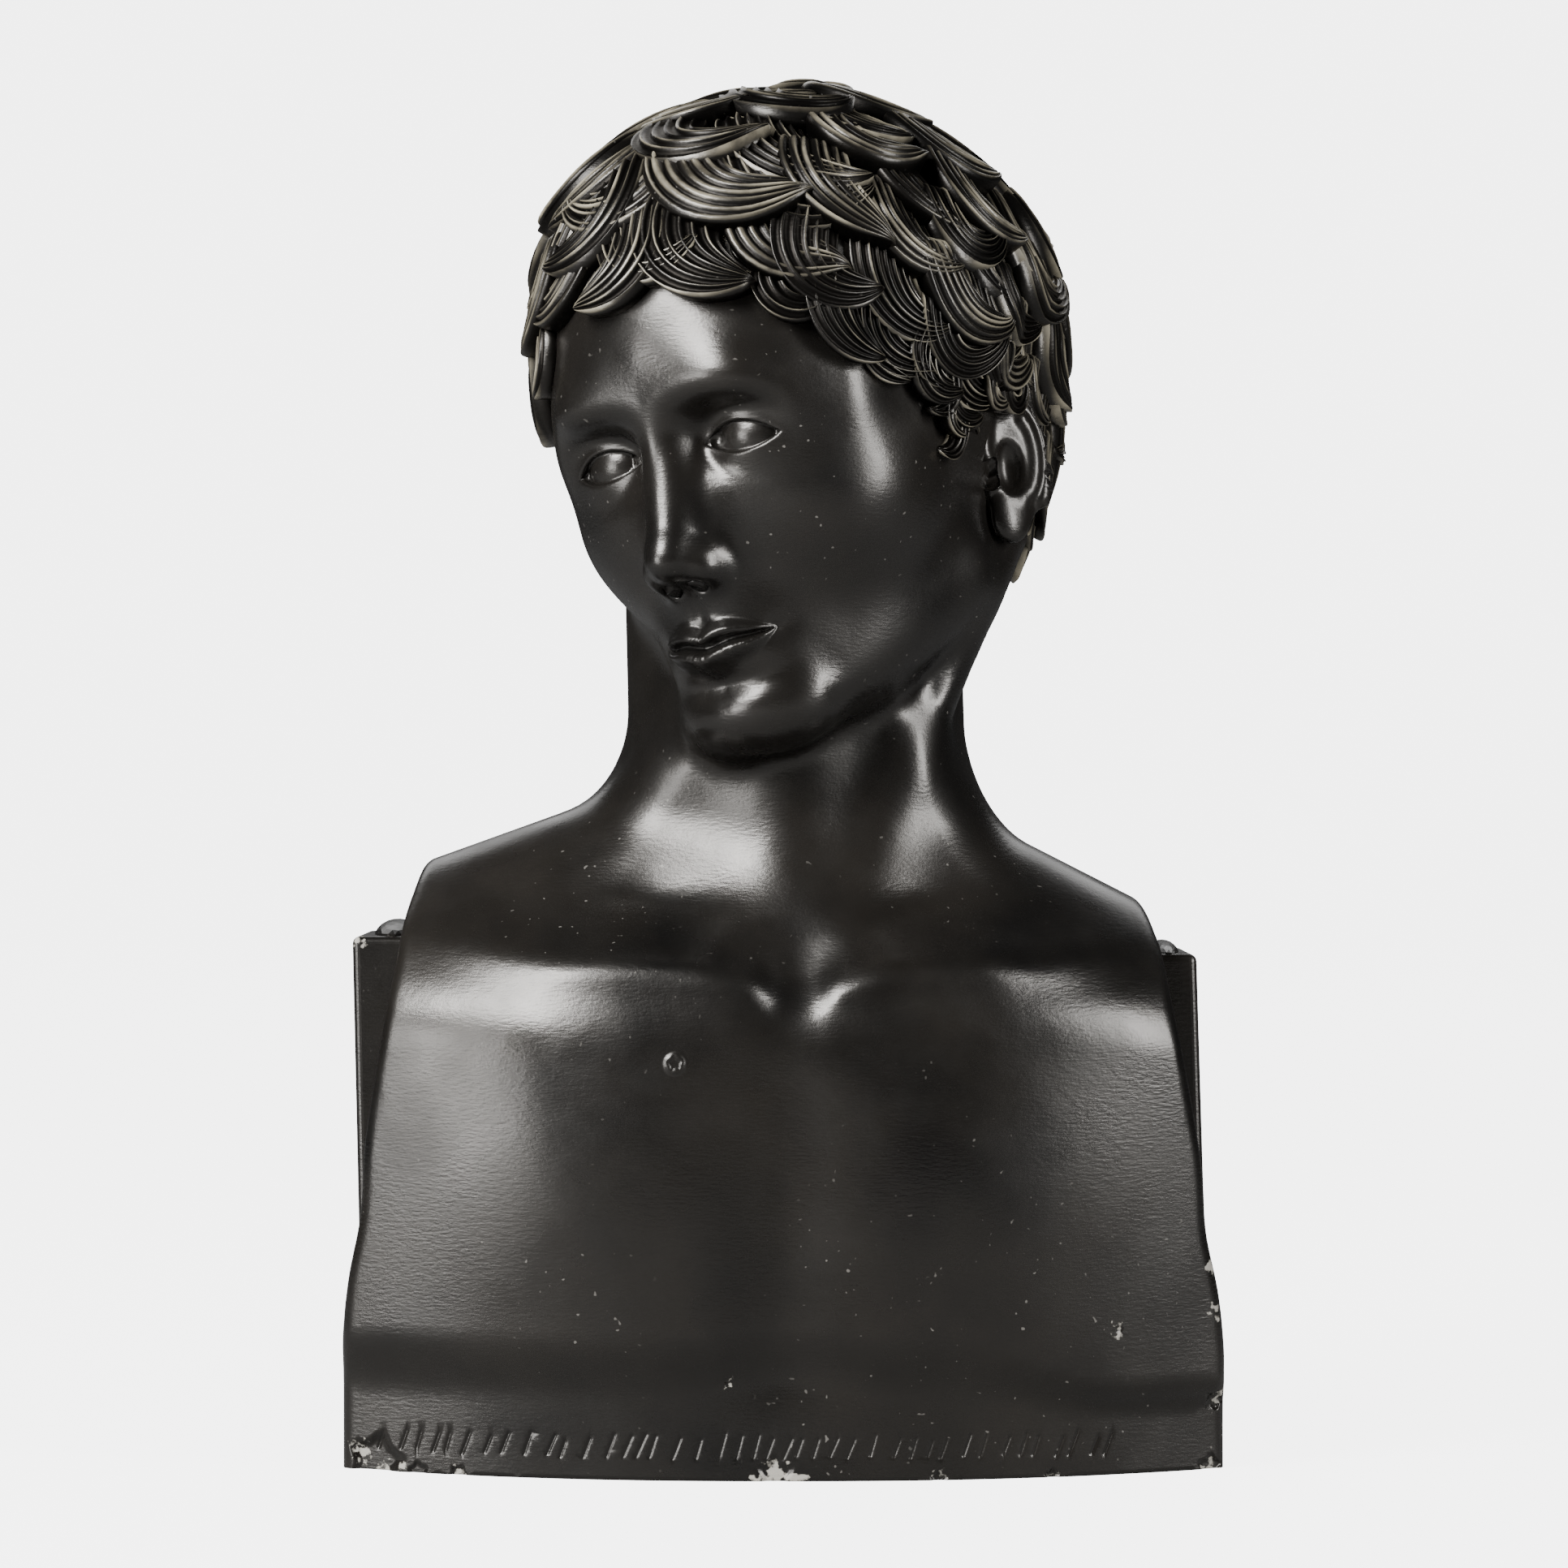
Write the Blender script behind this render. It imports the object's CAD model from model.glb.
import math
import random

import bmesh
import bpy
import numpy as np
from mathutils import Matrix, Vector


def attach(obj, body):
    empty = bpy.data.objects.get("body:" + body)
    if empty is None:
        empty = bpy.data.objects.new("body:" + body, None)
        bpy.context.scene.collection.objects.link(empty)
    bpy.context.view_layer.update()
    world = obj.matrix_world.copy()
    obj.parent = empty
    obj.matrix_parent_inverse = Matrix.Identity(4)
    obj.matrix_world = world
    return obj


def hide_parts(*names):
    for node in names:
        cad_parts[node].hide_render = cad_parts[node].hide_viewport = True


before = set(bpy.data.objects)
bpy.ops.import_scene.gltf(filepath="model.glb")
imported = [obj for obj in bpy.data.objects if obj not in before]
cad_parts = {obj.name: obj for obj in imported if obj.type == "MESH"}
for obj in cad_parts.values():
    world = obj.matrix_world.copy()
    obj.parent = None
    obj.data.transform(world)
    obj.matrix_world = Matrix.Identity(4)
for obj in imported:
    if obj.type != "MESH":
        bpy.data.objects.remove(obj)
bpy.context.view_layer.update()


# The cast: head, neck and chest, one hollow plaster casting in life and one closed surface here.
# Its form is a distance rule, below zero inside, on which a fine net of faces is laid. Sizes are
# in millimetres up to the material, with x, y and z as on the part.

MM = 0.001
SHIFT_Y = -1.3
HALF_CHEST = 172.5
HALF_SPAN = 143.5
RIGHT_TOP = 236.5
LEFT_TOP = 220.5
CHEST_FRONT = 98.6
CHEST_BACK = 66.9
CHEST_SIDE_DROP = 30.0
BAND_HEIGHT = 40.0
BAND_DEPTH = 6.5
PIT = 186.0
HALF_NECK = 67.5
HALF_NECK_DEPTH = 62.0
HEAD_TURN = 35.0
HEAD_ROLL = 9.5
HEAD_NOD = 8.0
HEAD_PLACE = np.array([28.0, 6.0, 350.0])
PIVOT = np.array([0.0, 10.0, 60.0])
PART = 246.0 / 240.0


def join(a, b, soft):
    """Joins two forms, with a fillet as wide as soft says."""
    near = np.maximum(soft - np.abs(a - b), 0.0) / soft
    return np.minimum(a, b) - near * near * soft / 4


def keep_inside(a, b, soft):
    return -join(-a, -b, soft)


def egg(p, centre, radii):
    """How far the points lie outside an egg."""
    q = p - np.array(centre, float)
    r = np.array(radii, float)
    outer = np.linalg.norm(q / r, axis=1)
    slope = np.linalg.norm(q / (r * r), axis=1)
    return outer * (outer - 1) / np.maximum(slope, 1e-9)


def rod(p, start, end, start_radius, end_radius):
    """How far the points lie outside a tapered rod with round ends."""
    start = np.array(start, float)
    along = np.array(end, float) - start
    t = np.clip((p - start) @ along / (along @ along), 0, 1)
    off = np.linalg.norm(p - start - t[:, None] * along, axis=1)
    return off - (start_radius + (end_radius - start_radius) * t)


def bell(x, width):
    """One in the middle, and close to nothing at twice the width."""
    return np.exp(-((x / width) ** 2))


def ramp(x, low, high):
    """A smooth rise from nothing at low to one at high."""
    t = np.clip((x - low) / (high - low), 0, 1)
    return t * t * (3 - 2 * t)


SKULL = [
    ("egg", (0, 10, 152), (81, 109, 90), 1),
    ("egg", (0, -24, 98), (65, 73, 92), 34),
    ("egg", (0, 32, 92), (60, 62, 58), 24),
    ("egg", (0, -31, 160), (68, 68, 64), 24),
    ("egg", (40, -46, 96), (27, 31, 26), 30),
    ("rod", (47, 2, 52), (16, -66, 22), 17, 16, 24),
    ("egg", (0, -76, 19), (23, 19, 17), 18),
    ("egg", (0, -66, 50), (30, 31, 25), 16),
]

BROW = [
    ("rod", (8, -91, 134), (31, -89.5, 138.5), 8, 7.5, 12),
    ("rod", (31, -89.5, 138.5), (56, -62, 130), 7.5, 4, 30),
]

NOSE = [
    ("egg", (0, -88, 84), (15, 17, 20), 16),
    ("rod", (0, -92, 134), (0, -106, 88), 7.5, 8.0, 9),
    ("egg", (0, -108.5, 80.5), (9.0, 10.0, 8.5), 8),
    ("egg", (10.5, -99, 76.5), (6.0, 10.0, 7.5), 7),
]

EYE = (31.0, -77.0, 119.5)
EYE_RADIUS = 15.6
LID_RADIUS = 17.9
EYE_HALF_WIDTH = 15.5
UPPER_LID_RISE = 6.4
LOWER_LID_DROP = 4.6


def add_forms(f, p, forms):
    for kind, *values in forms:
        made = egg(p, *values[:2]) if kind == "egg" else rod(p, *values[:4])
        f = join(f, made, values[-1])
    return f


def lip_relief(side, z):
    """How far the lips stand out from the face."""
    half = 25.0
    share = np.clip(1 - (side / half) ** 2, 0, 1)
    line = 46.5 + 1.4 * (side / half) ** 2 - 0.8 * bell(side, 5.5) + 0.7 * bell(side - 11, 6)
    above = (z - line) / np.maximum(8.0 * share ** 0.75 * (1 - 0.2 * bell(side, 3.2)), 0.5)
    below = (line - z) / np.maximum(9.4 * share ** 0.7, 0.5)
    upper = 4.6 * share ** 0.55 * ramp(above, 0, 0.42) * (1 - ramp(above, 0.42, 1.25))
    lower = 5.0 * share ** 0.55 * ramp(below, 0, 0.45) * (1 - ramp(below, 0.35, 1.4))
    seam = -1.3 * bell(z - line, 1.7) * (1 - ramp(side, half - 4, half + 4))
    corner = -1.0 * bell(side - half - 0.5, 5) * bell(z - line, 5)
    return upper + lower + seam + corner


def eyes(f, q):
    """Lays the lids on the face, cuts the opening between two arcs and sets the ball in it."""
    side = q[:, 0] - EYE[0]
    z = q[:, 2] - EYE[2] + 0.05 * side
    circles = []
    for rise, way in ((UPPER_LID_RISE, 1), (LOWER_LID_DROP, -1)):
        radius = (EYE_HALF_WIDTH ** 2 + rise ** 2) / (2 * rise)
        circles.append(np.hypot(side, z - way * (rise - radius)) - radius)
    opening = np.maximum(circles[0], circles[1])
    out = np.linalg.norm(q - np.array(EYE), axis=1)
    lid = keep_inside(out - LID_RADIUS, -opening, 1.8)
    f = join(f, lid, 6.0)
    hole = keep_inside(opening, q[:, 1] - EYE[1], 1.0)
    f = keep_inside(f, -hole, 1.5)
    return join(f, out - EYE_RADIUS, 1.0)


EAR_PLACE = np.array([66.0, 15.0, 93.0])
out_from_head, lean = math.radians(24), math.radians(8)
back_and_out = np.array([math.sin(out_from_head), math.cos(out_from_head), 0.0])
upward = np.array([0.0, 0.0, 1.0])
EAR_AXES = np.array([
    back_and_out * math.cos(lean) - upward * math.sin(lean),
    upward * math.cos(lean) + back_and_out * math.sin(lean),
    [math.cos(out_from_head), -math.sin(out_from_head), 0.0],
])


def chain(p, points, radius):
    found = np.full(len(p), 1e3)
    for one, two in zip(points[:-1], points[1:]):
        found = np.minimum(found, rod(p, one, two, radius, radius))
    return found


def ear(q):
    """One ear: u runs back along its plate, v up, and n out from it."""
    p = (q - EAR_PLACE) @ EAR_AXES.T
    f = egg(p, (13, 3, 3), (15.5, 28, 3.4))
    f = join(f, egg(p, (5, 0, -4), (10, 22, 9)), 5)
    turns = [math.radians(v) for v in range(-42, 208, 12)]
    rim = [(13 + 15.2 * math.cos(t), 3 + 27.5 * math.sin(t), 4.3) for t in turns] + [(4, 0, 3.5)]
    f = join(f, chain(p, rim, 2.9), 4)
    turns = [math.radians(v) for v in range(-80, 62, 14)]
    fold = [(12.5 + 8.6 * math.cos(t), 1 + 16.5 * math.sin(t), 5.0) for t in turns]
    f = join(f, chain(p, fold, 2.3), 3)
    f = join(f, egg(p, (8, -23, 3.5), (8, 9.5, 3.8)), 5)
    f = join(f, egg(p, (0, -5, 5.5), (4, 6, 3.4)), 3)
    return keep_inside(f, -egg(p, (9, -3, 8.6), (6.2, 10.5, 7.6)), 2)


def skull(q):
    """The head in its own upright frame, with the chin near zero and the crown at 242."""
    side = np.abs(q[:, 0])
    y, z = q[:, 1], q[:, 2]
    m = np.stack([side, y, z], axis=1)
    f = add_forms(np.full(len(q), 1e3), m, SKULL)
    f = add_forms(f, m, BROW)
    f = keep_inside(f, -egg(m, (30, -107.5, 122.5), (23, 20.5, 12.5)), 14)
    f = add_forms(f, m, NOSE)
    f = keep_inside(f, -egg(m, (6, -101.5, 70.5), (3.0, 4.6, 3.6)), 2.4)
    front = ramp(-y, 55, 75)
    f = f - front * lip_relief(side, z)
    f = f + front * 1.3 * bell(side, 3.3) * ramp(z, 52, 58) * (1 - ramp(z, 64, 70))
    f = f + front * 3.0 * bell(side, 18) * bell(z - 30, 5.5)
    return eyes(f, m) - hair_cap(q)


HAIR_CENTRE = np.array([0.0, 8.0, 130.0])
CROWN = np.array([0.0, 0.35, 0.937])
HAIR_FOOT = 122.0


def hairline(around):
    """How many degrees down from the crown the hair reaches, by the turn from the brow."""
    turns = [0, 25, 63, 86, 100, 112, 132, 142, 160]
    reach = [83, 85, 101, 113, 91, 90, 107, 117, 120]
    return np.interp(np.abs(around), turns, reach)


def above_hairline(d):
    forward = np.array([0.0, -CROWN[2], CROWN[1]])
    angle = np.degrees(np.arccos(np.clip(d @ CROWN, -1, 1)))
    around = np.degrees(np.arctan2(d[..., 0], d @ forward))
    return hairline(around) - angle


def hair_bed(d):
    """How far the bed that the locks lie on stands out from the skull."""
    return 6.5 * ramp(above_hairline(d), 4, 28)


def hair_cap(q):
    """The cap under the locks: a lip along the hairline, and lower than their bed above it."""
    out = q - HAIR_CENTRE
    d = out / np.maximum(np.linalg.norm(out, axis=1), 1e-6)[:, None]
    above = above_hairline(d)
    return hair_bed(d) + 1.5 * ramp(above, 5, 10) - 2.6 * ramp(above, 14, 26)


turn, roll, nod = (math.radians(v) for v in (-HEAD_TURN, -HEAD_ROLL, HEAD_NOD))
turned = Matrix.Rotation(turn, 3, "Z") @ Matrix.Rotation(roll, 3, "Y") @ Matrix.Rotation(nod, 3, "X")
TURNING = np.array(turned)


def to_head(p):
    return (p - HEAD_PLACE) @ TURNING / PART + PIVOT


def from_head(q):
    return (np.asarray(q, float) - PIVOT) * PART @ TURNING.T + HEAD_PLACE


def shoulder_line(x):
    """The height of the shoulders, from the arm cuts up to the neck."""
    inward = HALF_SPAN - np.abs(x)
    right = RIGHT_TOP + np.minimum(0.36 * inward + 0.0125 * np.maximum(inward - 55, 0) ** 2, 95)
    left = LEFT_TOP + np.minimum(0.51 * inward + 0.0185 * np.maximum(inward - 45, 0) ** 2, 110)
    return np.where(x < 0, right, left)


def arm_cut(x, z):
    """How far out the chest reaches at a height."""
    top = np.where(x < 0, RIGHT_TOP, LEFT_TOP)
    share = z / top
    lost = np.clip((share - 0.2) / 0.8, 0, 1) ** 1.35
    lost = lost + 0.08 * bell(share - 0.42, 0.08) - 0.04 * bell(share - 0.91, 0.06)
    return HALF_CHEST - (HALF_CHEST - HALF_SPAN) * lost


def chest_front(x, z):
    """How far forward the chest reaches, with its muscles, band, pit and collar bones."""
    side = np.abs(x)
    left = ramp(x, 60, 130)
    out = CHEST_FRONT - CHEST_SIDE_DROP * (side / 150) ** 2.3
    out = out + 7 * bell(side - 78, 52) * bell(z - PIT + 68, 66)
    out = out - 2.5 * bell(x, 18) * ramp(z, 20, 60) * (1 - ramp(z, PIT - 36, PIT + 4))
    fold = BAND_HEIGHT - 11 * left + 5 * bell(x, 30)
    step = 1 - ramp(z, fold - 9 + 4 * left, fold + 16 - 9 * left)
    out = out - BAND_DEPTH * step
    out = out - 55 * ramp(z, PIT - 21, PIT + 76) ** 1.25
    out = out - 9 * bell(x - 5, 20) * bell(z - PIT - 12, 20)
    away = np.abs(x - 5)
    along = np.clip((away - 10) / 130, 0, 1)
    ridge = PIT + 3 + 20 * along + 3 * np.sin(along * 6.3)
    out = out + 4.5 * bell(z - ridge, 9) * ramp(away, 3, 18) * (1 - 0.6 * ramp(away, 80, 150))
    return out - 7 * bell(away - 58, 30) * bell(z - PIT - 36, 13)


def chest(p):
    x, y, z = p[:, 0], p[:, 1], p[:, 2]
    front = (-y - chest_front(x, z)) * 0.85
    back = (y - CHEST_BACK + 12 * ramp(z, PIT - 16, PIT + 76)) * 0.9
    top = (z - shoulder_line(x) + ((y - 4) / 36) ** 2 * 6) * 0.86
    f = keep_inside(keep_inside(front, back, 16), top, 26)
    return keep_inside(f, (np.abs(x) - arm_cut(x, z)) * 0.97, 4)


def neck(p):
    x, y, z = p[:, 0], p[:, 1], p[:, 2]
    up = (z - PIT - 29) / 170
    flare = 1 - ramp(z, PIT - 6, PIT + 84)
    wide = HALF_NECK * (1 + 0.10 * flare)
    under_jaw = ramp(z, PIT + 80, PIT + 140)
    deep = HALF_NECK_DEPTH * (1 + 0.08 * flare - 0.08 * under_jaw)
    off = np.hypot((x - 7 + 4 * up) / wide, (y - 8 - 2 * up - 5 * under_jaw) / deep)
    ends = np.maximum(z - HEAD_PLACE[2] - 45, PIT + 6 - z)
    f = keep_inside((off - 1) * np.minimum(wide, deep), ends, 24)
    for side, low in ((-1, -7), (1, 14)):
        behind_ear = from_head([[side * 55.0, 30.0, 66.0]])[0]
        f = join(f, rod(p, behind_ear, (low, -57, PIT + 4), 14, 6), 12)
    throat_top = (1, -32, HEAD_PLACE[2] - 30)
    return join(f, rod(p, throat_top, (4, -49, PIT + 12), 20, 13), 16)


def cast_surface(p):
    f = join(skull(to_head(p)) * PART, neck(p), 9)
    return join(f, chest(p), 20)


def new_object(name, builder):
    mesh = bpy.data.meshes.new(name)
    builder.to_mesh(mesh)
    builder.free()
    made = bpy.data.objects.new(name, mesh)
    bpy.context.scene.collection.objects.link(made)
    return made


def add_ball(builder, centre, radii, placed):
    ball = bmesh.ops.create_icosphere(builder, subdivisions=3, radius=1.0)
    corners = np.array([v.co for v in ball["verts"]]) * np.array(radii) + np.array(centre)
    for vertex, co in zip(ball["verts"], placed(corners)):
        vertex.co = co


def settled(thing):
    graph = bpy.context.evaluated_depsgraph_get()
    mesh = bpy.data.meshes.new_from_object(thing.evaluated_get(graph))
    thing.modifiers.clear()
    old = thing.data
    thing.data = mesh
    bpy.data.meshes.remove(old)


def new_net(thing, size):
    net = thing.modifiers.new("net", "REMESH")
    net.mode = "VOXEL"
    net.voxel_size = size
    settled(thing)


def corners_of(thing):
    flat = np.empty(len(thing.data.vertices) * 3)
    thing.data.vertices.foreach_get("co", flat)
    return flat.reshape(-1, 3)


def slope(surface, p, step=0.3):
    found = np.empty_like(p)
    for axis in range(3):
        shift = np.zeros(3)
        shift[axis] = step
        found[:, axis] = (surface(p + shift) - surface(p - shift)) / (2 * step)
    return found


def eased(p, surface, rounds, longest):
    """Moves the points onto the surface where its rule is nought."""
    for _ in range(rounds):
        gradient = slope(surface, p)
        steep = np.maximum((gradient * gradient).sum(axis=1), 0.05)
        move = -(surface(p) / steep)[:, None] * gradient
        size = np.linalg.norm(move, axis=1)
        move *= np.minimum(1, longest / np.maximum(size, 1e-9))[:, None]
        p = p + move
    return p


def ease_onto(thing, surface, rounds, longest):
    p = eased(corners_of(thing), surface, rounds, longest)
    thing.data.vertices.foreach_set("co", p.reshape(-1))
    thing.data.update()


builder = bmesh.new()
for kind, *values in SKULL + BROW + NOSE:
    for side in (1, -1) if values[0][0] else (1,):
        if kind == "egg":
            balls = [(values[0], values[1])]
        else:
            balls = []
            for share in (0.0, 0.25, 0.5, 0.75, 1.0):
                centre = np.array(values[0]) * (1 - share) + np.array(values[1]) * share
                radius = values[2] * (1 - share) + values[3] * share
                balls.append((centre, (radius, radius, radius)))
        for centre, radii in balls:
            add_ball(builder, np.array(centre, float) * np.array([side, 1, 1]), radii, from_head)
for share in range(8):
    add_ball(builder, (5, 8, PIT + 4 + share * 28), (60, 58, 30), lambda p: p)
block = bmesh.ops.create_cube(builder, size=1.0)
for vertex in block["verts"]:
    vertex.co.x *= HALF_CHEST * 2.12
    vertex.co.y = vertex.co.y * (CHEST_FRONT + CHEST_BACK) - (CHEST_FRONT - CHEST_BACK) / 2
    vertex.co.z = (vertex.co.z + 0.5) * (LEFT_TOP + 20) - 20
cast = new_object("cast", builder)
for net_size, rounds, longest in ((7.0, 6, 14), (4.0, 4, 5), (3.8, 3, 2)):
    new_net(cast, net_size)
    ease_onto(cast, cast_surface, rounds, longest)


def refine(builder, chosen):
    """Halves the faces whose middles the rule chooses, and eases the new corners onto the surface."""
    middles = np.array([f.calc_center_median() for f in builder.faces])
    wanted = chosen(middles)
    edges = {e for f, keep in zip(builder.faces, wanted) if keep for e in f.edges}
    before = len(builder.verts)
    bmesh.ops.subdivide_edges(builder, edges=list(edges), cuts=1, use_grid_fill=True)
    builder.verts.ensure_lookup_table()
    fresh = builder.verts[before:]
    placed = eased(np.array([v.co for v in fresh]), cast_surface, 3, 1.0)
    for vertex, co in zip(fresh, placed):
        vertex.co = co


def face_area(p):
    q = to_head(p)
    return (q[:, 1] < -28) & (q[:, 2] < 172) & (q[:, 2] > 4) & (np.abs(q[:, 0]) < 72)


def feature_area(p):
    q = to_head(p)
    side = np.abs(q[:, 0])
    lids = (np.abs(side - EYE[0]) < 22) & (np.abs(q[:, 2] - EYE[2]) < 12) & (q[:, 1] < -70)
    mouth = (side < 28) & (np.abs(q[:, 2] - 46) < 9) & (q[:, 1] < -75)
    nostrils = (side < 20) & (np.abs(q[:, 2] - 73) < 8) & (q[:, 1] < -88)
    return lids | mouth | nostrils


def arm_edge_area(p):
    off = np.abs(np.abs(p[:, 0]) - arm_cut(p[:, 0], p[:, 2]))
    shoulders = (np.abs(p[:, 2] - shoulder_line(p[:, 0])) < 9) & (np.abs(p[:, 0]) > HALF_SPAN - 6)
    front = np.abs(p[:, 1] + chest_front(p[:, 0], p[:, 2])) < 7
    return ((off < 4.5) & front & (p[:, 2] < RIGHT_TOP + 4)) | shoulders


def eye_and_lip_area(p):
    q = to_head(p)
    side = np.abs(q[:, 0]) - EYE[0]
    lips = (side < 27 - EYE[0]) & (np.abs(q[:, 2] - 46.5) < 8) & (q[:, 1] < -80)
    return lips | (np.abs(side) < 20) & (np.abs(q[:, 2] - EYE[2]) < 9) & (q[:, 1] < -74)


builder = bmesh.new()
builder.from_mesh(cast.data)
for area in (face_area, feature_area, eye_and_lip_area, arm_edge_area):
    refine(builder, area)


# The front of the cast: shell-shaped dents where its edge is chipped and one small blister, and
# along the band a row of cut, slanted strokes that aren't letters.

MARK_DEPTH = 0.6
MARK_HALF_WIDTH = 0.6
FRONT_FROM = -20.0
DENTS = [
    (-159.0, 4.0, 11.0, 2.6),
    (-142.0, 0.5, 4.0, 1.2),
    (-126.0, 0.5, 3.5, 1.4),
    (-3.0, 3.0, 7.0, 1.4),
    (60.0, 0.5, 3.5, 1.2),
    (104.0, 0.5, 3.0, 1.2),
    (167.0, 1.0, 5.0, 1.6),
    (168.5, 27.0, 4.0, 1.4),
    (-41.5, 161.0, 3.0, 0.7),
    (-22.0, 39.0, 1.4, 0.4),
    (130.0, 57.0, 1.4, 0.4),
]
BLISTER = (-41.5, 161.0, 5.0, 0.9)
chance = random.Random(3)
strokes = []
x, last_x = -158.0, 130.0
while x < last_x:
    tall = chance.uniform(6.0, 9.0)
    lean = chance.uniform(0.25, 0.45)
    foot = chance.uniform(8.4, 9.8)
    strokes.append((x, foot, x + lean * tall, foot + tall))
    x += chance.choice((5.0, 6.5, 9.0))


def from_stroke(p, stroke):
    one, two = np.array(stroke[:2]), np.array(stroke[2:])
    along = two - one
    here = p[:, [0, 2]] - one
    t = np.clip(here @ along / (along @ along), 0, 1)
    return np.linalg.norm(here - t[:, None] * along, axis=1) + np.where(p[:, 2] < -1, 50, 0)


def near_marks(p, reach):
    found = np.full(len(p), 1e3)
    front = p[:, 1] < FRONT_FROM
    for stroke in strokes:
        found = np.minimum(found, from_stroke(p, stroke))
    for x, z, radius, _ in DENTS + [BLISTER]:
        found = np.minimum(found, np.hypot(p[:, 0] - x, p[:, 2] - z) - radius)
    return (found < reach) & front


for reach in (2.4, 1.4, 0.9):
    refine(builder, lambda p: near_marks(p, reach))
flat = np.array([v.co for v in builder.verts])
front = flat[:, 1] < FRONT_FROM
inward = np.zeros(len(flat))
for stroke in strokes:
    inward += MARK_DEPTH * bell(from_stroke(flat, stroke), MARK_HALF_WIDTH)
for x, z, radius, deep in DENTS:
    off = np.hypot(flat[:, 0] - x, flat[:, 2] - z) / radius
    shell = 1 + 0.15 * np.sin(np.arctan2(flat[:, 2] - z, flat[:, 0] - x) * 5 + x)
    inward += deep * (1 - ramp(off * shell, 0.55, 1.0))
off = np.hypot(flat[:, 0] - BLISTER[0], flat[:, 2] - BLISTER[1]) / BLISTER[2]
inward -= BLISTER[3] * (1 - ramp(off, 0.5, 1.0))
flat[:, 1] += np.where(front, inward, 0)
for vertex, co in zip(builder.verts, flat):
    vertex.co = co
everything = list(builder.verts) + list(builder.edges) + list(builder.faces)
cut = bmesh.ops.bisect_plane(builder, geom=everything, plane_co=(0, 0, 0), plane_no=(0, 0, 1),
                             clear_inner=True)
rim = [g for g in cut["geom_cut"] if isinstance(g, bmesh.types.BMEdge)]
bmesh.ops.holes_fill(builder, edges=rim, sides=0)
bmesh.ops.triangulate(builder, faces=[f for f in builder.faces if len(f.verts) > 4])
builder.to_mesh(cast.data)
builder.free()


# The ears, cast with the head: each a thin plate with a rim, an inner fold, a hollow and a lobe,
# laid on a net of its own.

ears = []
for name, side in (("left_ear", 1), ("right_ear", -1)):
    builder = bmesh.new()
    add_ball(builder, (12, 0, 1.5), (18.5, 33, 5.0), lambda p: p @ EAR_AXES + EAR_PLACE)
    add_ball(builder, (5, 0, -4), (11, 23, 9.5), lambda p: p @ EAR_AXES + EAR_PLACE)
    made = new_object(name, builder)
    new_net(made, 2.0)
    ease_onto(made, ear, 5, 2)
    new_net(made, 1.0)
    ease_onto(made, ear, 4, 1)
    placed = from_head(corners_of(made) * np.array([side, 1, 1]))
    made.data.vertices.foreach_set("co", placed.reshape(-1))
    if side < 0:
        made.data.flip_normals()
    ears.append(made)


# The two upright panels behind the arm cuts: plain slabs cast with the chest, their edges worn
# soft, each with a low rounded lip on top beside the shoulder.

PANEL_BACK = CHEST_BACK - 4.0
PANEL_DEPTH = 78.0
PANEL_THICKNESS = 24.0
PANEL_EDGE = 3.0
panels = []
for name, side, top, foot, head, lip_x, lip_width, lip_rise in (
    ("right_panel", -1, 207.0, -166.95, -171.5, 156.0, 9.0, 7.0),
    ("left_panel", 1, 200.0, 170.55, 164.5, 153.5, 6.0, 5.5),
):
    builder = bmesh.new()
    slab = bmesh.ops.create_cube(builder, size=1.0)
    for vertex in slab["verts"]:
        up = vertex.co.z + 0.5
        inner = 0.5 - side * vertex.co.x
        vertex.co.x = foot + (head - foot) * up - side * inner * PANEL_THICKNESS
        vertex.co.y = PANEL_BACK + (vertex.co.y - 0.5) * PANEL_DEPTH
        vertex.co.z = up * top
    edges = [e for e in builder.edges if max(v.co.z for v in e.verts) > 1]
    bmesh.ops.bevel(builder, geom=edges, offset=PANEL_EDGE, offset_type="OFFSET", segments=5,
                    profile=0.5, affect="EDGES", material=-1)
    add_ball(builder, (side * lip_x, PANEL_BACK - PANEL_DEPTH / 2, top - 1),
             (lip_width, PANEL_DEPTH / 2 - 1, lip_rise), lambda p: p)
    panels.append(new_object(name, builder))


# The hair, cast with the head: sickle locks in rows from the crown, each one a closed blade
# grooved into strands. Each lock follows a path over the skull, its root under the row above and
# its tip standing out. Angles are in degrees, down from the crown and round from the brow.

FORK = 4.0
HAIR_ROUND = 105.0
LOCK_LENGTH = 66.0
LOCK_WIDTH = 25.0
LOCK_OVERLAP = 0.86
LOCK_HEADINGS = (-5, 25)
LOCK_BENDS = (32, 72)
LOCK_HOOKS = (0, 80)
FIRST_ROW = 2.0
SECOND_ROW_STEP = 7.0
ROW_STEP = 14.0
ROOT_TO_FORK = 13.0
FRONT_REACH = 95.0
UNDER_LEVEL = -5.0
BURIED = -3.0
DOME = SKULL[:4]


def sky(angle, around):
    """The direction so many degrees down from the crown, and so many round from the brow."""
    a, b = np.radians(angle), np.radians(around)
    forward = np.array([0.0, -CROWN[2], CROWN[1]])
    left = np.array([1.0, 0.0, 0.0])
    flat = np.multiply.outer(np.cos(b), forward) + np.multiply.outer(np.sin(b), left)
    return np.multiply.outer(np.cos(a), CROWN) + np.sin(a)[..., None] * flat


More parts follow.
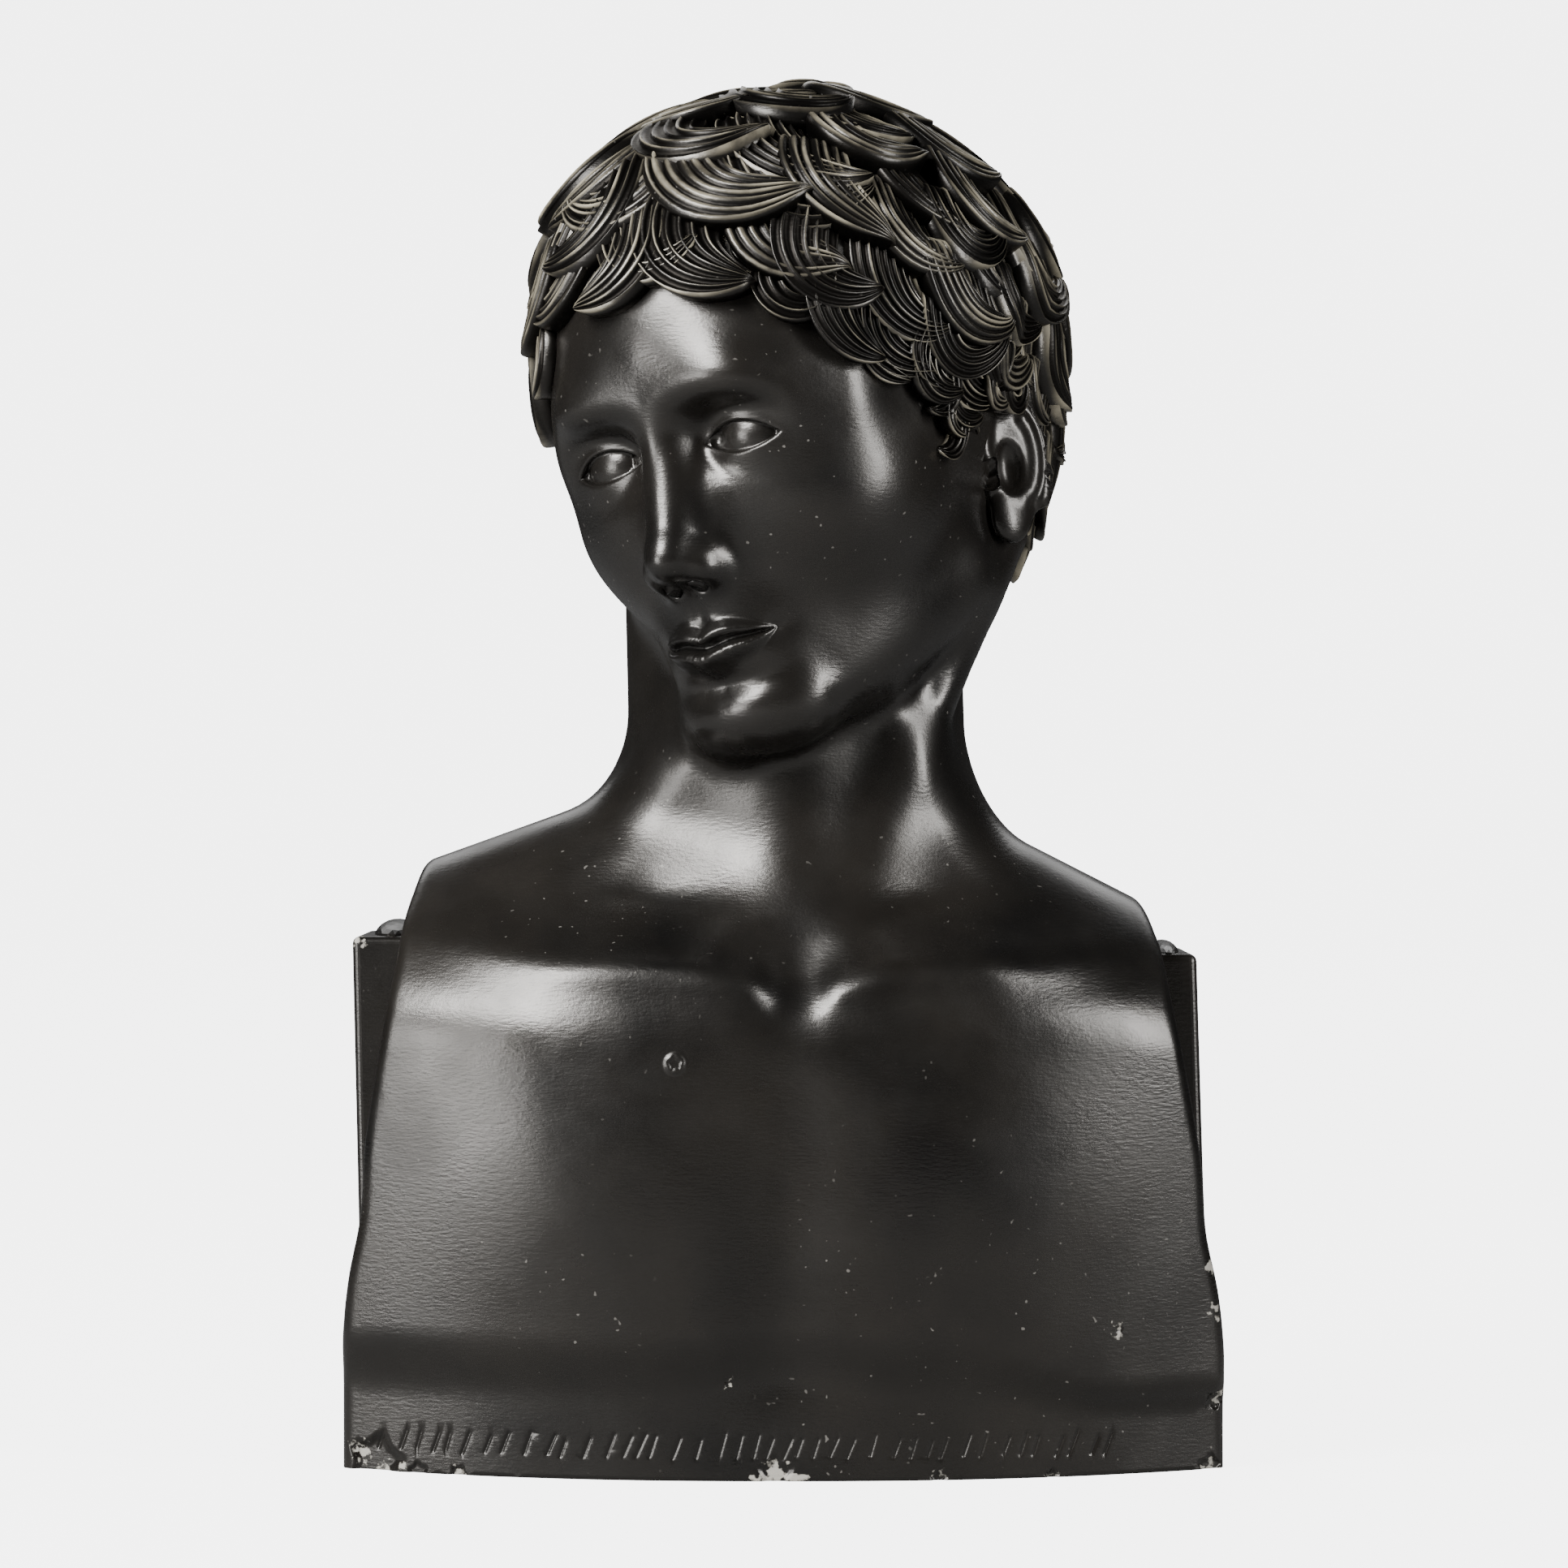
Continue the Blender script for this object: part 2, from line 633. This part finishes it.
def on_skull(d):
    """Where the directions meet the dome of the skull."""
    near, far = np.full(len(d), 40.0), np.full(len(d), 170.0)
    for _ in range(16):
        middle = (near + far) / 2
        q = HAIR_CENTRE + d * middle[:, None]
        q[:, 0] = np.abs(q[:, 0])
        inside = add_forms(np.full(len(q), 1e3), q, DOME) < 0
        near = np.where(inside, middle, near)
        far = np.where(inside, far, middle)
    return HAIR_CENTRE + d * ((near + far) / 2)[:, None]


def lock_path(angle, around, heading, bend, hook, length, steps):
    """Directions along a lock, which turns by its bend on the way and by its hook at the tip."""
    at = sky(np.array([angle]), np.array([around]))[0]
    path = [at]
    stride = length / HAIR_ROUND / (steps - 1)
    for k in range(steps - 1):
        share = k / (steps - 2)
        down = np.cross(np.cross(at, CROWN), at) * -1.0
        down /= max(np.linalg.norm(down), 1e-6)
        across = np.cross(at, down)
        wave = 0.35 * bend * math.sin(2 * math.pi * share)
        way = math.radians(heading + bend * share + hook * share ** 4 - wave)
        go = down * math.cos(way) + across * math.sin(way)
        at = at * math.cos(stride) + go * math.sin(stride)
        at /= np.linalg.norm(at)
        path.append(at)
    return np.array(path)


STEPS = 24
FINE = 6
STRAND_WIDTH = 3.8
THIN_STRANDS = 0.7


def add_lock(builder, ridge, groove, path, broad, strands, thin, outer, level, stand, chance):
    """One closed blade: rings across the path, grooved above and buried in the skull below."""
    top = strands * FINE
    ring = top + 5
    sheet = bmesh.ops.create_grid(builder, x_segments=ring, y_segments=STEPS + 1, size=1.0)
    verts = sheet["verts"]
    flat = np.array([v.co for v in verts])
    i = np.rint((flat[:, 0] + 1) / 2 * ring).astype(int)
    j = np.rint((flat[:, 1] + 1) / 2 * (STEPS + 1)).astype(int)
    t = np.maximum(j - 1, 0) / STEPS
    i = i % ring
    upper = i <= top
    across = np.where(upper, -1 + 2 * i / top, 1 - 2 * (i - top - 1) / 3)
    half = broad / 2 * np.sin(np.pi * np.clip(0.22 + 0.78 * t, 0, 1)) ** 0.75
    half = np.where(j == 0, 0, half)
    k = np.clip(np.rint(t * STEPS).astype(int), 0, STEPS)
    tangent = np.gradient(path, axis=0)
    side = np.cross(tangent, path)
    side /= np.maximum(np.linalg.norm(side, axis=1), 1e-9)[:, None]
    sway = 0.6 * np.sin(t * 7 + chance.uniform(0, 6))
    d = path[k] * HAIR_ROUND + side[k] * (across * half + sway)[:, None]
    d /= np.linalg.norm(d, axis=1)[:, None]
    place = on_skull(d)
    wave = np.abs(np.sin(np.pi * i / FINE))
    crest = (1 - wave) ** 1.2 if thin else wave ** 0.6
    swell = np.array([chance.uniform(0.7, 1.15) for _ in range(strands + 2)])
    strand = np.clip((i + FINE // 2) // FINE, 0, strands + 1)
    crest = crest * swell[strand] * (0.85 + 0.15 * np.sin(9 * t + 2.1 * strand))
    risen = ramp(t, 0, 0.16)
    lift = -2.5 + 4 * risen + stand * t - 1.4 * ramp(t, 0.88, 1.0) + level
    dome = 2.4 * np.sqrt(np.clip(1 - across ** 2, 0, 1)) * (0.4 + 0.6 * half / half.max())
    tilt = 2.0 * across * outer * ramp(t, 0, 0.3)
    relief = 2.4 * risen * (crest - 0.4) * np.minimum(1, half / half.max() * 1.6)
    high = hair_bed(d) + np.where(upper, lift + dome * risen + tilt + relief, BURIED)
    high = np.where(j == 0, BURIED, high)
    high = np.where(j > STEPS, hair_bed(d) + stand - 1.5 + level, high)
    where = from_head(place + d * high[:, None])
    ridges = np.where(upper, crest, 0.0)
    grooves = np.where(upper, 1 - crest, 1.0)
    for vertex, co, on_ridge, in_groove in zip(verts, where, ridges, grooves):
        vertex.co = co
        vertex[ridge] = on_ridge
        vertex[groove] = in_groove
    bmesh.ops.remove_doubles(builder, verts=verts, dist=0.001)


chance = random.Random(11)
locks = []
row = 0
angle = FIRST_ROW
while angle < HAIR_FOOT - 3:
    girth = 2 * math.pi * HAIR_ROUND * math.sin(math.radians(min(angle, 90)))
    count = max(5 if row == 0 else 8, round(girth / (LOCK_WIDTH * LOCK_OVERLAP)))
    for k in range(count):
        around = -180 + 360 * (k + 0.5 * (row % 2) + chance.uniform(-0.15, 0.15)) / count
        from_fork = around - FORK
        side = 1 if from_fork > 0 else -1
        front = abs(from_fork) < FRONT_REACH
        start = angle + chance.uniform(-2.5, 2.5)
        row_radius = HAIR_ROUND * max(0.35, math.sin(math.radians(min(angle, 90))))
        toward_fork = math.degrees(ROOT_TO_FORK / row_radius)
        root = around - side * toward_fork * (1 if front else 0.4)
        reach = float(hairline(around)) - start
        if reach < 6:
            continue
        heading = side * chance.uniform(*LOCK_HEADINGS)
        curl = side if front or chance.random() < 0.6 else -side
        bend = curl * chance.uniform(*LOCK_BENDS)
        hook = curl * chance.uniform(*LOCK_HOOKS)
        long = LOCK_LENGTH * chance.uniform(0.85, 1.15) * (0.45 if row == 0 else 1)
        over = 8 if abs(from_fork) < 60 else 4
        long = min(long, math.radians(reach + over) * HAIR_ROUND * 1.1)
        broad = LOCK_WIDTH * chance.uniform(0.85, 1.15) * min(1, 0.45 + long / LOCK_LENGTH * 0.6)
        path = lock_path(start, root, heading, bend, hook, long, STEPS + 1)
        level = (1.4 if k % 2 else -1.2) + chance.uniform(-0.3, 0.3)
        locks.append((path, broad, angle, curl, level, 3.0 if row < 2 else 6.5))
    row += 1
    angle += SECOND_ROW_STEP if row == 1 else ROW_STEP

# Straighter locks lie under the rows, so that no bare cap shows where the rows part.
for angle in range(4, 100, round(ROW_STEP)):
    girth = 2 * math.pi * HAIR_ROUND * math.sin(math.radians(min(angle + 8, 90)))
    count = round(girth / (LOCK_WIDTH * LOCK_OVERLAP))
    for k in range(count):
        around = -180 + 360 * (k + chance.uniform(-0.15, 0.15)) / count
        reach = float(hairline(around)) - angle
        if reach < 8:
            continue
        side = 1 if around > FORK else -1
        long = min(LOCK_LENGTH, math.radians(reach) * HAIR_ROUND)
        path = lock_path(angle, around, side * 8, side * chance.uniform(15, 40), 0, long, STEPS + 1)
        locks.append((path, LOCK_WIDTH * 1.15, angle, side, UNDER_LEVEL, 2.6))

# Small locks at the temples, before and above the near ear and at the nape: degrees down and
# round, heading, bend, hook, length, width and level
SMALL_LOCKS = [
    (86, -58, 62, 40, 30, 30, 11, 2.5),
    (91, -63, 58, 50, 30, 28, 11, 2.0),
    (97, -68, 50, 45, 40, 27, 11, 1.5),
    (103, -73, 30, 50, 40, 24, 11, 1.0),
    (92, -76, 5, 20, 30, 38, 15, 0.5),
    (97, -84, 0, 20, 30, 38, 15, 0.0),
    (97, -92, -5, -20, -30, 36, 14, 0.5),
    (104, -79, 10, 30, 40, 26, 12, -0.5),
    (88, 64, -10, 40, 60, 34, 13, 2.5),
    (95, 71, 10, -40, -60, 32, 12, 2.5),
    (100, 76, -15, 45, 70, 30, 12, 2.0),
    (106, 78, 5, -45, -60, 28, 11, 1.5),
    (84, 84, 20, 110, 150, 44, 13, 3.0),
    (90, 96, 30, 90, 90, 36, 13, 3.0),
    (108, 118, 5, 40, 60, 30, 13, 1.5),
    (112, 132, -10, -40, -60, 30, 13, 1.5),
    (112, 146, 10, 40, 60, 30, 13, 1.5),
    (112, -132, 10, 40, 60, 30, 13, 1.5),
    (112, -146, -10, -40, -60, 30, 13, 1.5),
]
for angle, around, heading, bend, hook, long, broad, level in SMALL_LOCKS:
    path = lock_path(angle, around, heading, bend, hook, long, STEPS + 1)
    locks.append((path, broad, angle, math.copysign(1, bend), level, 3.5))

hair = []
HAIR_BANDS = (
    ("crown_locks", 0, 36),
    ("upper_locks", 36, 55),
    ("side_locks", 55, 71),
    ("lower_locks", 71, 86),
    ("foot_locks", 86, 130),
)
for name, low, high in HAIR_BANDS:
    builder = bmesh.new()
    ridge = builder.verts.layers.float.new("ridge")
    groove = builder.verts.layers.float.new("groove")
    for path, broad, angle, curl, level, stand in locks:
        if low <= angle < high:
            strands = max(4, min(8, round(broad / STRAND_WIDTH)))
            thin = chance.random() < THIN_STRANDS
            add_lock(builder, ridge, groove, path, broad, strands, thin, curl, level, stand, chance)
    bmesh.ops.recalc_face_normals(builder, faces=builder.faces)
    hair.append(new_object(name, builder))


# The black waxed plaster: near black, satin, with rubbed pale ridges on the hair, a fine
# brushed grain and a few specks of lint. White plaster shows where the edges are chipped.

finish = bpy.data.materials.new("black_waxed_plaster")
finish.use_nodes = True
nodes = finish.node_tree.nodes
links = finish.node_tree.links
shader = nodes["Principled BSDF"]
place = nodes.new("ShaderNodeTexCoord")


def noise(scale, detail=4.0, stretch=(1, 1, 1)):
    mapped = nodes.new("ShaderNodeMapping")
    mapped.inputs["Scale"].default_value = stretch
    links.new(place.outputs["Object"], mapped.inputs["Vector"])
    made = nodes.new("ShaderNodeTexNoise")
    made.inputs["Scale"].default_value = scale
    made.inputs["Detail"].default_value = detail
    links.new(mapped.outputs["Vector"], made.inputs["Vector"])
    return made.outputs["Fac"]


def spread(value, low, high, to_low=0.0, to_high=1.0):
    made = nodes.new("ShaderNodeMapRange")
    made.inputs["From Min"].default_value = low
    made.inputs["From Max"].default_value = high
    made.inputs["To Min"].default_value = to_low
    made.inputs["To Max"].default_value = to_high
    links.new(value, made.inputs["Value"])
    return made.outputs["Result"]


def calc(operation, one, two):
    made = nodes.new("ShaderNodeMath")
    made.operation = operation
    for socket, value in zip(made.inputs, (one, two)):
        if isinstance(value, (int, float)):
            socket.default_value = value
        else:
            links.new(value, socket)
    return made.outputs[0]


def blend(share, one, two):
    made = nodes.new("ShaderNodeMix")
    made.data_type = "RGBA"
    links.new(share, made.inputs["Factor"])
    for socket, value in ((made.inputs[6], one), (made.inputs[7], two)):
        if isinstance(value, tuple):
            socket.default_value = value
        else:
            links.new(value, socket)
    return made.outputs[2]


BLACK = (0.003, 0.0028, 0.0026, 1)
BROWN_BLACK = (0.009, 0.0078, 0.0065, 1)
RUBBED = (0.30, 0.27, 0.20, 1)
BARE_PLASTER = (0.30, 0.285, 0.25, 1)
LINT = (0.10, 0.094, 0.085, 1)
ridge_level = nodes.new("ShaderNodeAttribute")
ridge_level.attribute_name = "ridge"
rubbed = calc("MULTIPLY", spread(ridge_level.outputs["Fac"], 0.62, 1.05), spread(noise(60), 0.3, 0.65))
groove_level = nodes.new("ShaderNodeAttribute")
groove_level.attribute_name = "groove"
tone = blend(spread(noise(14), 0.35, 0.7), BLACK, BROWN_BLACK)
colour = blend(rubbed, tone, RUBBED)
BARE_SPOTS = (
    (-166, 7, 5), (-158, 1, 4), (-149, 2, 3), (-126, 0, 3), (-3, 4, 5), (-8, 0, 4), (5, 0, 4),
    (60, 0, 2.5), (104, 0, 2), (168, 0, 5), (170, 28, 3), (168.5, 62, 3), (167, 80, 3), (130, 57, 1.0),
    (-22, 39, 1.0),
)
CHIPS = []
for x, z, radius in BARE_SPOTS:
    CHIPS.append((x, -float(chest_front(np.array([x]), np.array([z]))[0]), z, radius))
CHIPS.append((-170.5, PANEL_BACK - PANEL_DEPTH, 206.5, 5))
ragged = spread(noise(320, 6.0), 0.25, 0.75, -0.005, 0.005)
white = None
for x, y, z, radius in CHIPS:
    away = nodes.new("ShaderNodeVectorMath")
    away.operation = "DISTANCE"
    links.new(place.outputs["Object"], away.inputs[0])
    away.inputs[1].default_value = (x * MM, (y + SHIFT_Y) * MM, z * MM)
    off = calc("SUBTRACT", away.outputs["Value"], radius * 0.6 * MM)
    white = off if white is None else calc("MINIMUM", white, off)
chipped = spread(calc("ADD", white, ragged), 0.0004, -0.0012)
colour = blend(chipped, colour, BARE_PLASTER)
dust = calc("MULTIPLY", spread(noise(520, 0.0), 0.81, 0.86), spread(noise(9), 0.45, 0.6))
colour = blend(dust, colour, LINT)
links.new(colour, shader.inputs["Base Color"])
shader.inputs["Specular Tint"].default_value = (1.0, 0.965, 0.92, 1)
rough = spread(noise(35), 0.3, 0.7, 0.23, 0.34)
in_groove = groove_level.outputs["Fac"]
dull = calc("MAXIMUM", calc("MULTIPLY", chipped, 0.7), spread(in_groove, 0.1, 1.0, 0.2, 0.45))
links.new(calc("MAXIMUM", rough, dull), shader.inputs["Roughness"])
# A metal of so black a colour reflects next to nothing, which keeps the grooves of the hair dark.
links.new(spread(in_groove, 0.15, 0.75, 0.0, 0.9), shader.inputs["Metallic"])
grain = calc("ADD", calc("MULTIPLY", noise(900, 3.0), 0.5), noise(260, 4.0, (1, 1, 4)))
shader.inputs["Specular IOR Level"].default_value = 0.45
bump = nodes.new("ShaderNodeBump")
bump.inputs["Strength"].default_value = 0.15
bump.inputs["Distance"].default_value = 0.0006
links.new(grain, bump.inputs["Height"])
links.new(bump.outputs["Normal"], shader.inputs["Normal"])

for thing in [cast] + ears + panels + hair:
    thing.data.transform(Matrix.Scale(MM, 4) @ Matrix.Translation((0, SHIFT_Y, 0)))
    thing.data.materials.clear()
    thing.data.materials.append(finish)
    for face in thing.data.polygons:
        face.use_smooth = thing not in panels
    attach(thing, "root")
    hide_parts("bust")


# The studio: a pale floor and air that glow for the camera alone, so that the satin mirrors
# little but the four soft lights, and a camera straight before the chest.

PALE = (0.22, 0.22, 0.22, 1)
GLOW = 5.0
bpy.ops.mesh.primitive_plane_add(size=12)
floor = bpy.context.object
floor.name = "floor"
paper = bpy.data.materials.new("paper")
paper.use_nodes = True
surface = paper.node_tree.nodes["Principled BSDF"]
surface.inputs["Base Color"].default_value = PALE
surface.inputs["Roughness"].default_value = 0.8
surface.inputs["Emission Color"].default_value = (1, 1, 1, 1)
seen = paper.node_tree.nodes.new("ShaderNodeLightPath")
glow = paper.node_tree.nodes.new("ShaderNodeMath")
glow.operation = "MULTIPLY"
glow.inputs[1].default_value = GLOW
paper.node_tree.links.new(seen.outputs["Is Camera Ray"], glow.inputs[0])
paper.node_tree.links.new(glow.outputs["Value"], surface.inputs["Emission Strength"])
floor.data.materials.append(paper)

world = bpy.data.worlds.new("studio")
bpy.context.scene.world = world
world.use_nodes = True
air = world.node_tree.nodes["Background"]
air.inputs["Color"].default_value = (1, 1, 1, 1)
seen = world.node_tree.nodes.new("ShaderNodeLightPath")
bright = world.node_tree.nodes.new("ShaderNodeMapRange")
bright.inputs["To Min"].default_value = 0.03
bright.inputs["To Max"].default_value = GLOW
world.node_tree.links.new(seen.outputs["Is Camera Ray"], bright.inputs["Value"])
world.node_tree.links.new(bright.outputs["Result"], air.inputs["Strength"])


def soft_light(name, place, aim, size, power):
    lamp = bpy.data.lights.new(name, "AREA")
    lamp.shape = "RECTANGLE"
    lamp.size, lamp.size_y = size
    lamp.energy = power
    made = bpy.data.objects.new(name, lamp)
    made.location = place
    made.rotation_euler = (Vector(aim) - Vector(place)).to_track_quat("-Z", "Y").to_euler()
    bpy.context.scene.collection.objects.link(made)


soft_light("key", (-1.3, -1.3, 1.4), (0, 0, 0.35), (0.9, 0.9), 130)
soft_light("side", (-1.7, -1.25, 0.3), (0, 0, 0.12), (0.7, 0.6), 26)
soft_light("fill", (1.5, -0.9, 0.8), (0, 0, 0.35), (0.35, 1.2), 40)
soft_light("floor_light", (0, 4.0, 2.6), (0, 1.4, 0), (5.0, 2.0), 60)

CAMERA_AWAY = 2.2
FRAME_WIDTH = 0.6059
SENSOR = 36
camera_data = bpy.data.cameras.new("camera")
camera_data.lens = SENSOR * CAMERA_AWAY / FRAME_WIDTH
camera_data.sensor_width = SENSOR
camera_data.clip_end = 50
camera = bpy.data.objects.new("camera", camera_data)
aim = Vector((0.0003, -0.08, 0.268))
camera.location = aim + Vector((0, -CAMERA_AWAY, 0.012))
camera.rotation_euler = (aim - camera.location).to_track_quat("-Z", "Y").to_euler()
bpy.context.scene.collection.objects.link(camera)
bpy.context.scene.camera = camera
